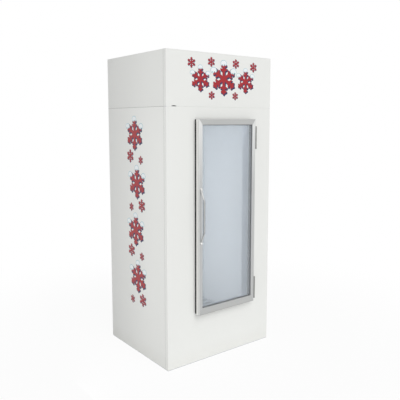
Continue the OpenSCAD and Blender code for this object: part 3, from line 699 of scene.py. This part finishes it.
vinyl = {
    "film": 0.0002, "lift": 0.00005, "step": 0.00025, "outline": 0.034, "shadow": 0.055, "curveSteps": 4,
    "arm": 0.1, "branch": 0.13, "branches": ((0.44, 0.19), (0.70, 0.14)), "branchTip": 0.35,
    "snowFrom": 0.06, "snowEdge": 0.028, "snowArms": (30, 90, 150), "snowPlace": 0.93,
    "snow": ((-0.21, -0.03), (-0.20, 0.09), (-0.08, 0.17), (0.06, 0.18), (0.19, 0.10), (0.22, -0.02),
             (0.14, -0.10), (0.06, -0.03), (-0.02, -0.14), (-0.10, -0.04), (-0.15, -0.11)),
}
header = {"middle": (0.012, 1.936), "crystal": (0.0, 0.0, 0.108), "pairs": (
    (0.199, -0.010, 0.080), (0.108, 0.106, 0.032), (0.104, -0.112, 0.028), (0.272, 0.092, 0.034))}
column = {"across": 0.0395, "top": 1.565, "rows": 4, "pitch": 0.336, "crystals": (
    (0.012, 0.0, 0.108), (0.072, -0.152, 0.046), (-0.066, -0.176, 0.030))}


def headerCrystals():
    # one crystal in the middle, the others in pairs on both sides of it
    pairs = [(side * x, z, radius) for x, z, radius in header["pairs"] for side in (-1, 1)]
    return [header["crystal"]] + pairs


def columnCrystals():
    # three crystals in each row down the wall, every second row mirrored
    return [((1 if row % 2 else -1) * x, z - row * column["pitch"], radius)
            for row in range(column["rows"]) for x, z, radius in column["crystals"]]


def heading(degrees):
    return Vector((math.cos(math.radians(degrees)), math.sin(math.radians(degrees))))


def crystalOutline(radius):
    # one arm drawn once and repeated six times
    half, width = radius * vinyl["arm"], radius * vinyl["branch"]
    slope = heading(60)
    across = Vector((slope.y, -slope.x)) * width
    edge = [Vector((half * math.sqrt(3), half))]
    for start, length in vinyl["branches"]:
        root = Vector((radius * start, half))
        tip = root + slope * radius * length
        edge += [root, tip, tip + slope * width * vinyl["branchTip"] + across / 2, tip + across,
                 root + Vector((width / slope.y, 0))]
    edge += [Vector((radius - half, half)), Vector((radius, 0))]
    arm = [Vector((point.x, -point.y)) for point in edge] + edge[-2:0:-1]
    return [Matrix.Rotation(math.radians(90 + 60 * index), 2) @ point for index in range(6) for point in arm]


def addFilm(name, outlines, smooth):
    # flat film: one closed outline at a time, each with its own even margin
    films = []
    for outline, grow in outlines:
        curve = bpy.data.curves.new(name, "CURVE")
        curve.dimensions = "2D"
        curve.fill_mode = "BOTH"
        curve.extrude = vinyl["film"] / 2
        curve.offset = grow
        curve.resolution_u = vinyl["curveSteps"]
        spline = curve.splines.new("BEZIER" if smooth else "POLY")
        points = spline.bezier_points if smooth else spline.points
        points.add(len(outline) - 1)
        for point, place in zip(points, outline):
            if smooth:
                point.co = (place[0], place[1], 0)
                point.handle_left_type = point.handle_right_type = "AUTO"
            else:
                point.co = (place[0], place[1], 0, 1)
        spline.use_cyclic_u = True
        films.append(newPiece(name, curve))
    activate(*films)
    bpy.ops.object.convert(target="MESH")
    return joinPieces(films, name)


def addPrint(name, middle, crystals, wall, body):
    # all the crystals of one wall in four layers: shadow, colour, snow outline and snow
    shadows, shapes, edges, snows = [], [], [], []
    for x, z, radius in crystals:
        at = Vector(middle) + Vector((x, z))
        shape = [at + point for point in crystalOutline(radius)]
        shapes.append((shape, 0.0))
        shift = Vector((1, -1)) * radius * vinyl["shadow"]
        shadows.append(([point + shift for point in shape], radius * vinyl["outline"]))
        if radius < vinyl["snowFrom"]:
            continue
        for angle in vinyl["snowArms"]:
            tip = at + heading(angle) * radius * vinyl["snowPlace"]
            snow = [tip + Vector(point) * radius for point in vinyl["snow"]]
            snows.append((snow, 0.0))
            edges.append((snow, radius * vinyl["snowEdge"]))
    layers = (("Shadow", shadows, False, vinylNavy), ("Colour", shapes, False, vinylRed),
              ("SnowEdge", edges, True, vinylIce), ("Snow", snows, True, vinylSnow))
    for level, (label, outlines, smooth, finish) in enumerate(layers):
        film = addFilm(name + label, outlines, smooth)
        out = vinyl["lift"] + vinyl["film"] / 2 + level * vinyl["step"]
        film.data.transform(wall @ Matrix.Translation((0, 0, out)))
        dress(film, finish, body)


def wallFrame(right, out, origin):
    # flat artwork's axes on a wall: right along the wall, up, and out of it
    return Matrix.Translation(origin) @ Matrix((right, toTop, out)).transposed().to_4x4()


def makePrints():
    front = wallFrame((1, 0, 0), toFront, (0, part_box("head_cover")[0].y, 0))
    left = wallFrame(toFront, (-1, 0, 0), (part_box("side_panel_left")[0].x, 0, 0))
    right = wallFrame(toBack, (1, 0, 0), (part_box("side_panel_right")[1].x, 0, 0))
    across, up = column["across"], column["top"]
    addPrint("headerPrint", header["middle"], headerCrystals(), front, "head_cover")
    addPrint("leftPrint", (-across, up), columnCrystals(), left, "cabinet")
    addPrint("rightPrint", (across, up), columnCrystals(), right, "cabinet")


makePrints()
print("printed vinyl made")


# Door: mitred aluminium frame, gasket and glazing seal

handleStile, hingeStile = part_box("door_stile_handle"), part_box("door_stile_hinge")
bottomRail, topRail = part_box("door_rail_bottom"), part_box("door_rail_top")
door = {
    "left": handleStile[0].x, "right": hingeStile[1].x, "bottom": bottomRail[0].z, "top": topRail[1].z,
    "front": handleStile[0].y, "back": handleStile[1].y, "stile": handleStile[1].x - handleStile[0].x,
    "topRail": topRail[1].z - topRail[0].z, "bottomRail": bottomRail[1].z - bottomRail[0].z,
    "lip": 0.006, "cover": 0.010, "round": 0.003, "chamfer": 0.0035, "grooveIn": 0.0075, "groove": 0.0016,
    "grooveDepth": 0.0008, "sideGroove": (0.0045, 0.0085), "sideDepth": 0.0025, "mitreGap": 0.00015,
    "spare": 0.01,
}


def addFrameMember(name, length, width, before, after, turn, corner):
    # built along X with its outer edge on the floor line, then turned into place
    front, back = door["front"], door["back"]
    wall, spare, gap = width - door["cover"], door["spare"], door["mitreGap"]
    piece = addBox(name, (-spare, front, 0), (length + spare, front + door["lip"], width))
    cutAt(piece, (0, 0, wall), toTop)
    extrudeWhere(piece, (0, back - front - door["lip"], 0),
                 lambda face: pointsTo(face, toBack) and middleOf(face).z < wall)
    bevelWhere(piece, door["round"], 4, lambda at: at.y < front + tiny and at.z < tiny)
    bevelWhere(piece, door["chamfer"], 2, lambda at: at.y < front + tiny and at.z > width - tiny)
    grooves = (door["grooveIn"], door["grooveIn"] + door["groove"])
    for level in grooves:
        cutAt(piece, (0, 0, level), toTop)
    extrudeWhere(piece, (0, door["grooveDepth"], 0),
                 lambda face: pointsTo(face, toFront) and grooves[0] < middleOf(face).z < grooves[1])
    sides = [front + level for level in door["sideGroove"]]
    for level in sides:
        cutAt(piece, (0, level, 0), toBack)
    extrudeWhere(piece, (0, 0, door["sideDepth"]),
                 lambda face: pointsTo(face, toFloor) and sides[0] < middleOf(face).y < sides[1])
    cutAt(piece, (gap, 0, 0), (-width, 0, before), clear=True)
    cutAt(piece, (length - gap, 0, 0), (width, 0, after), clear=True)
    pick(piece, "VERT")
    bpy.ops.mesh.remove_doubles(threshold=tiny)
    bpy.ops.mesh.delete_loose()
    endEdit()
    fixNormals(piece)
    piece.rotation_euler = (0, math.radians(turn), 0)
    piece.location = corner
    applyPlace(piece)
    return piece


def makeDoorFrame():
    left, right, bottom, top = door["left"], door["right"], door["bottom"], door["top"]
    stile, upper, lower = door["stile"], door["topRail"], door["bottomRail"]
    wide, high = right - left, top - bottom
    members = (
        ("door_rail_bottom", wide, lower, stile, stile, 0, (left, 0, bottom), shadedRailAluminium),
        ("door_stile_hinge", high, stile, lower, upper, -90, (right, 0, bottom), litUprightAluminium),
        ("door_rail_top", wide, upper, stile, stile, 180, (right, 0, top), shadedRailAluminium),
        ("door_stile_handle", high, stile, upper, lower, 90, (left, 0, top), litUprightAluminium))
    for node, length, width, before, after, turn, corner, finish in members:
        piece = addFrameMember(node + "_profile", length, width, before, after, turn, corner)
        dress(piece, finish, "door", [node])


def addRing(name, low, high, width, corner=0, cornerSteps=5):
    # a flat ring in the XZ plane given depth, with rounded outer corners
    deselectAll()
    size = high - low
    bpy.ops.mesh.primitive_plane_add(size=1, location=(0, 0, 0), rotation=(math.pi / 2, 0, 0))
    piece = bpy.context.object
    piece.name = name
    piece.location = (low.x + size.x / 2, low.y, low.z + size.z / 2)
    piece.scale = (size.x, size.z, 1)
    applyPlace(piece)
    pick(piece, "FACE")
    bpy.ops.mesh.inset(thickness=width)
    bpy.ops.mesh.delete(type="FACE")
    bpy.ops.mesh.select_all(action="SELECT")
    bpy.ops.mesh.extrude_region_move(TRANSFORM_OT_translate={"value": (0, size.y, 0)})
    endEdit()
    fixNormals(piece)
    if corner:
        def atCorner(at):
            return (min(abs(at.x - low.x), abs(at.x - high.x)) < tiny
                    and min(abs(at.z - low.z), abs(at.z - high.z)) < tiny)
        pick(piece, "EDGE", lambda edge: all(atCorner(end.co) for end in edge.verts)
             and abs(edge.verts[0].co.y - edge.verts[1].co.y) > tiny)
        bpy.ops.mesh.bevel(offset=corner, segments=cornerSteps, affect="EDGES")
        endEdit()
    return piece


gasket = {"corner": 0.006, "width": 0.015, "waist": 0.0022, "waistBand": (0.35, 0.72), "ease": 0.0008}


def makeGasket():
    # a bellows strip: soft lips with a waist between them
    low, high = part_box("door_gasket")
    piece = addRing("doorGasket", low, high, gasket["width"], gasket["corner"])
    depth = high.y - low.y
    levels = [low.y + depth * share for share in gasket["waistBand"]]
    for level in levels:
        cutAt(piece, (0, level, 0), toBack)
    sinkWhere(piece, gasket["waist"], lambda face: levels[0] < middleOf(face).y < levels[1])
    roundEdges(piece, gasket["ease"])
    dress(piece, rubber, "door", ["door_gasket"])


bead = {"width": 0.0122, "ease": 0.0007}


def makeGlazingSeal():
    piece = addRing("glazingSeal", *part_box("glazing_seal"), bead["width"])
    roundEdges(piece, bead["ease"])
    dress(piece, beadRubber, "door", ["glazing_seal"])


makeDoorFrame()
makeGasket()
makeGlazingSeal()
print("door made")


# Handle and its screws

handle = {"width": 0.010, "thick": 0.005, "pitch": 0.362, "grip": 0.215, "toeIn": 0.008, "bend": 0.014,
          "edge": 0.0019, "foot": 0.011, "footThick": 0.004, "footRound": 0.0018,
          "cap": 0.0076, "capHigh": 0.003, "capRound": 0.002, "capRim": 0.003, "capDip": 0.0006,
          "head": 0.0055, "shank": 0.0025}


def makeHandle():
    # a bent bar: the grip is drawn first, then each end is extruded down to its round foot
    low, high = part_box("door_handle")
    middle = (low + high) / 2
    half, thick = handle["width"] / 2, handle["thick"]
    grip, toe = handle["grip"] / 2, handle["pitch"] / 2 - handle["toeIn"]
    bar = addBox("bowHandle", (middle.x - half, low.y, middle.z - grip),
                 (middle.x + half, low.y + thick, middle.z + grip))
    for side in (-1, 1):
        extrudeWhere(bar, (0, high.y - low.y - thick, side * (toe - grip)),
                     lambda face: pointsTo(face, (0, 0, side)))
    pick(bar, "EDGE", lambda edge: abs(edge.verts[0].co.x - edge.verts[1].co.x) > tiny
         and abs(abs(edge.verts[0].co.z - middle.z) - grip) < tiny)
    bpy.ops.mesh.bevel(offset=handle["bend"], segments=6, affect="EDGES")
    endEdit()
    roundEdges(bar, handle["edge"], 3)
    parts = [bar]
    front = high.y - handle["footThick"]
    for side in (-1, 1):
        foot = addRod("handleFoot", middle.x, middle.z + side * handle["pitch"] / 2, high.y, front,
                      handle["foot"], 48)
        bevelWhere(foot, handle["footRound"], 4, lambda at: at.y < front + tiny)
        parts.append(foot)
    dress(joinPieces(parts, "bowHandle"), handleSteel, "door", ["door_handle"])


def makeHandleScrews():
    # domed caps over the two screws
    low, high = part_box("handle_screws")
    x = (low.x + high.x) / 2
    foot = low.y + handle["capHigh"]
    parts = []
    for z in (low.z + handle["head"], high.z - handle["head"]):
        cap = addRod("screwCap", x, z, foot, low.y, handle["cap"], 48)
        bevelWhere(cap, handle["capRound"], 4, lambda at: at.y < low.y + tiny)
        # the round front face, not the small ones of its bevel
        pick(cap, "FACE", lambda face: pointsTo(face, toFront) and len(face.verts) > 8)
        bpy.ops.mesh.inset(thickness=handle["capRim"])
        bpy.ops.mesh.extrude_region_move(TRANSFORM_OT_translate={"value": (0, handle["capDip"], 0)})
        endEdit()
        parts += [cap, addRod("screwShank", x, z, foot, high.y, handle["shank"], 16)]
    dress(joinPieces(parts, "handleScrews"), capSteel, "door", ["handle_screws"])


makeHandle()
makeHandleScrews()
print("handle made")


# Hinges, with their pins

hinges = {"edge": 0.0006, "pinEdge": 0.0009}


def makeHinges():
    for node, body, edge in (("hinge_plates", "cabinet", "edge"), ("hinge_leaves", "door", "edge"),
                             ("hinge_pins", "cabinet", "pinEdge")):
        easeNode(node, hinges[edge], hingeSteel, body)


makeHinges()
print("hinges made")


# Opening jamb, with a light lip along its front edge

jamb = {"lip": 0.0045, "ease": 0.0005}


def makeJamb():
    piece = softenNode("opening_jamb", jamb["ease"])
    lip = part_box("opening_jamb")[0].y + jamb["lip"]
    cutAt(piece, (0, lip, 0), toBack)
    dress(piece, jambPlastic, "cabinet", ["opening_jamb"])
    piece.data.materials.append(linerPaint)
    pick(piece, "FACE", lambda face: middleOf(face).y < lip)
    piece.active_material_index = 1
    bpy.ops.object.material_slot_assign()
    endEdit()


makeJamb()
print("jamb made")


# Condenser: a stack of thin fins between two end plates

fins = {"pitch": 0.0032, "thickness": 0.0003, "plate": 0.0012, "inset": 0.0015, "edge": 0.0003}


def makeCondenser():
    low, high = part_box("condenser_core")
    start = low.x + fins["plate"] + fins["pitch"] / 2
    stack = addBox("condenserFins", (start, low.y + fins["inset"], low.z + fins["inset"]),
                   (start + fins["thickness"], high.y - fins["inset"], high.z - fins["inset"]))
    useModifier(stack, "ARRAY", count=int((high.x - low.x - 2 * fins["plate"]) / fins["pitch"]),
                use_relative_offset=False, use_constant_offset=True,
                constant_offset_displace=(fins["pitch"], 0, 0))
    plates = [addBox("endPlate", (x, low.y, low.z), (x + fins["plate"], high.y, high.z))
              for x in (low.x, high.x - fins["plate"])]
    for plate in plates:
        roundEdges(plate, fins["edge"])
    dress(joinPieces([stack, *plates], "condenserCore"), finMetal, "cabinet",
          ["condenser_core"])


makeCondenser()
print("condenser made")


# Fan: a domed hub with five twisted blades, and its motor on a strap

fan = {"hub": 0.020, "hubLength": 0.022, "hubRound": 0.005, "blades": 5, "root": 0.0175, "reach": 0.0915,
       "thickness": 0.0016, "rootPitch": 38.0, "tipPitch": 20.0, "edge": 0.0004,
       "widths": (0.030, 0.035, 0.040, 0.044, 0.047, 0.048, 0.047, 0.044, 0.037, 0.022)}


def addBlade():
    # drawn outwards from the hub, one slice after another, then twisted
    widths, root = fan["widths"], fan["root"]
    rise = (fan["reach"] - root) / (len(widths) - 1)
    half, thick = widths[0] / 2, fan["thickness"] / 2
    blade = addBox("fanBlade", (-half, -thick, root - rise), (half, thick, root))
    for step in range(len(widths) - 1):
        end = root + step * rise
        extrudeWhere(blade, (0, 0, rise),
                     lambda face: pointsTo(face, toTop) and middleOf(face).z > end - rise / 2)
        pick(blade, "FACE", lambda face: pointsTo(face, toTop) and middleOf(face).z > end + rise / 2)
        bpy.ops.transform.resize(value=(widths[step + 1] / widths[step], 1, 1), center_override=(0, 0, 0))
        endEdit()
    roundEdges(blade, fan["edge"])
    useModifier(blade, "SIMPLE_DEFORM", deform_method="TWIST", deform_axis="Z",
                angle=math.radians(fan["tipPitch"] - fan["rootPitch"]))
    pitch = math.radians((fan["rootPitch"] + fan["tipPitch"]) / 2)
    blade.data.transform(Matrix.Rotation(pitch, 4, "Z"))
    return blade


def makeFan():
    low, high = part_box("fan_blade")
    middle = (low + high) / 2
    hub = addRod("fanHub", middle.x, middle.z, high.y, high.y - fan["hubLength"], fan["hub"], 64)
    roundEdges(hub, fan["hubRound"], 5)
    middle.y = high.y - fan["hubLength"] / 2
    blades = copyRound(addBlade(), "fanBlade", middle, fullTurn(fan["blades"]))
    dress(joinPieces([hub, *blades], "fanWheel"), blackPlastic, "fan", ["fan_blade"])


motor = {"radius": 0.040, "length": 0.060, "round": 0.004, "band": (0.016, 0.030), "bandDeep": 0.0012,
         "strapHigh": 0.024, "strap": 0.003, "strapRound": 0.0006, "shaft": 0.004, "slots": 10,
         "slotAt": 0.027, "slotHalf": (0.0062, 0.0018), "slotDeep": 0.0025}


def makeMotor():
    low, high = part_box("fan_motor")
    x, z = (low.x + high.x) / 2, (low.z + high.z) / 2
    rear = low.y + motor["length"]
    can = addRod("motorCan", x, z, low.y, rear, motor["radius"], 64)
    bevelWhere(can, motor["round"], 4, lambda at: at.y < low.y + tiny)
    band = [rear - level for level in motor["band"]]
    for level in band:
        cutAt(can, (0, level, 0), toBack)
    sinkWhere(can, motor["bandDeep"], lambda face: band[1] < middleOf(face).y < band[0])
    long, tall = motor["slotHalf"]
    slot = addBox("motorSlot", (-long, low.y - motor["slotDeep"], motor["slotAt"] - tall),
                  (long, low.y + motor["slotDeep"], motor["slotAt"] + tall))
    slots = copyRound(slot, "motorSlots", (x, 0, z), fullTurn(motor["slots"]))
    carve(can, joinPieces(slots, "motorSlots"))
    half = motor["strapHigh"] / 2
    strap = addBox("motorStrap", (low.x, rear, z - half), (high.x, rear + motor["strap"], z + half))
    roundEdges(strap, motor["strapRound"])
    shaft = addRod("motorShaft", x, z, rear, high.y, motor["shaft"], 24)
    dress(joinPieces([can, strap, shaft], "fanMotor"), motorSteel, "cabinet", ["fan_motor"])


makeFan()
makeMotor()
print("fan made")


# Thermostat knob with a pointer, its tick marks, and the rocker

dial = {"ease": 0.0008, "pointer": (0.0010, 0.007), "pointerIn": 0.002, "film": 0.0002, "shaftReach": 0.014,
        "ticks": 11, "sweep": 270.0, "tickIn": 0.019, "tick": (0.0006, 0.0035), "rockerEase": 0.0009}


def makeDial():
    easeNode("thermostat_knob", dial["ease"], blackPlastic, "thermostat")
    low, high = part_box("thermostat_knob")
    x, z = (low.x + high.x) / 2, (low.z + high.z) / 2
    film = dial["film"]
    half, length = dial["pointer"]
    top = high.z - dial["pointerIn"]
    pointer = addBox("knobPointer", (x - half, low.y - film, top - length), (x + half, low.y + film, top))
    dress(pointer, vinylSnow, "thermostat")
    # the knob's shaft reaches out of the control box, so the box's face lies behind its foremost point
    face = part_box("control_box")[0].y + dial["shaftReach"]
    half, length = dial["tick"]
    tick = addBox("dialTick", (-half, -film, dial["tickIn"]), (half, 0, dial["tickIn"] + length))
    turns = evenly(-dial["sweep"] / 2, dial["sweep"] / 2, dial["ticks"])
    marks = copyRound(tick, "dialTicks", (x, face, z), turns)
    dress(joinPieces(marks, "dialTicks"), blackPlastic, "cabinet")
    easeNode("switch_rocker", dial["rockerEase"], redPlastic, "switch", 3)


makeDial()
print("dial made")


# Pan-head screws: one model, copied to the sheets that it holds

screw = {"head": 0.0042, "high": 0.0019, "sunk": 0.0002, "round": 0.0012, "slot": (0.0027, 0.00055),
         "deep": 0.0008, "in": 0.012, "lowest": 0.06, "upBox": 9, "upHead": 3, "across": 5,
         "shroudSheet": 0.002}


def addScrew():
    # its head points along -Y from the origin, with a cross recess
    head = addRod("panScrew", 0, 0, screw["sunk"], -screw["high"], screw["head"], 24)
    bevelWhere(head, screw["round"], 3, lambda at: at.y < tiny - screw["high"])
    long, thin = screw["slot"]
    floor = screw["deep"] - screw["high"]
    for wide, tall in ((long, thin), (thin, long)):
        carve(head, addBox("screwRecess", (-wide, -2 * screw["high"], -tall), (wide, floor, tall)))
    return head


def placeScrews(name, model, places, facing=0):
    # facing turns the head from -Y about Z
    turn = Matrix.Rotation(math.radians(facing), 4, "Z")
    copies = [copyPiece(model, name, Matrix.Translation(place) @ turn) for place in places]
    dress(joinPieces(copies, name), capSteel, "cabinet")


def sheetEdges(node, count, lowest):
    # places up both sides of a rear sheet and along its top
    low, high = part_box(node)
    across, top = high.x - screw["in"], high.z - screw["in"]
    return ([(x, high.y, z) for x in (-across, across) for z in evenly(low.z + lowest, top, count)]
            + [(x, high.y, top) for x in evenly(-across, across, screw["across"])[1:-1]])


def sheetCorners(node, y):
    low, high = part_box(node)
    return [(x, y, z) for x in (low.x + screw["in"], high.x - screw["in"])
            for z in (low.z + screw["in"], high.z - screw["in"])]


def makeScrews():
    model = addScrew()
    box = sheetEdges("back_panel", screw["upBox"], screw["lowest"])
    head = sheetEdges("head_back", screw["upHead"], screw["in"])
    placeScrews("backScrews", model, box + head, 180)
    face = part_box("control_box")[0].y + dial["shaftReach"]
    placeScrews("controlScrews", model, sheetCorners("control_box", face))
    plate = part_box("fan_shroud")[1].y - screw["shroudSheet"]
    placeScrews("shroudScrews", model, sheetCorners("fan_shroud", plate))
    bpy.data.objects.remove(model)


makeScrews()
print("screws made")


# Pieces whose edges are only eased: inside, base and head

eased = (
    (zinc, "galvanised", 0.0008, ("floor_rack", "base_rails", "base_cross_rails", "unit_base")),
    (zinc, "galvanised", 0.0004, ("back_panel", "head_back", "head_posts", "deck_panel", "bottom_panel",
                                  "fan_shroud", "control_box")),
    (linerPaint, "liner_sheet", 0.0008, ("light_housing",)),
    (blackEnamel, "black_steel", 0.0012, ("compressor",)),
    (blackPlastic, "black_plastic", 0.002, ("terminal_cover",)),
    (rubber, "black_rubber", 0.002, ("compressor_grommets",)),
    (blackPlastic, "black_plastic", 0.0008, ("cable_gland",)),
    (drainPlastic, "white_plastic", 0.0006, ("drain_tube",)),
)
for easedFinish, easedSlot, easedWidth, easedNodes in eased:
    for easedNode in easedNodes:
        easeNode(easedNode, easedWidth, easedFinish, "cabinet")
print("eased pieces made")


# Nodes that stay as they are

kept = (
    (linerPaint, ("liner_left", "liner_right", "liner_back", "liner_floor", "liner_ceiling", "liner_front")),
    (foam, ("insulation",)), (opal, ("light_diffuser",)), (outerGlass, ("glass_outer",)),
    (innerGlass, ("glass_middle", "glass_inner")), (spacerBar, ("glass_spacers",)),
    (copper, ("evaporator_coil", "condenser_tubes", "filter_drier", "discharge_line", "liquid_line",
              "suction_line")),
)
for keptFinish, keptNodes in kept:
    for keptNode in keptNodes:
        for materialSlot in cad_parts[keptNode].material_slots:
            materialSlot.material = keptFinish
print("kept nodes finished")
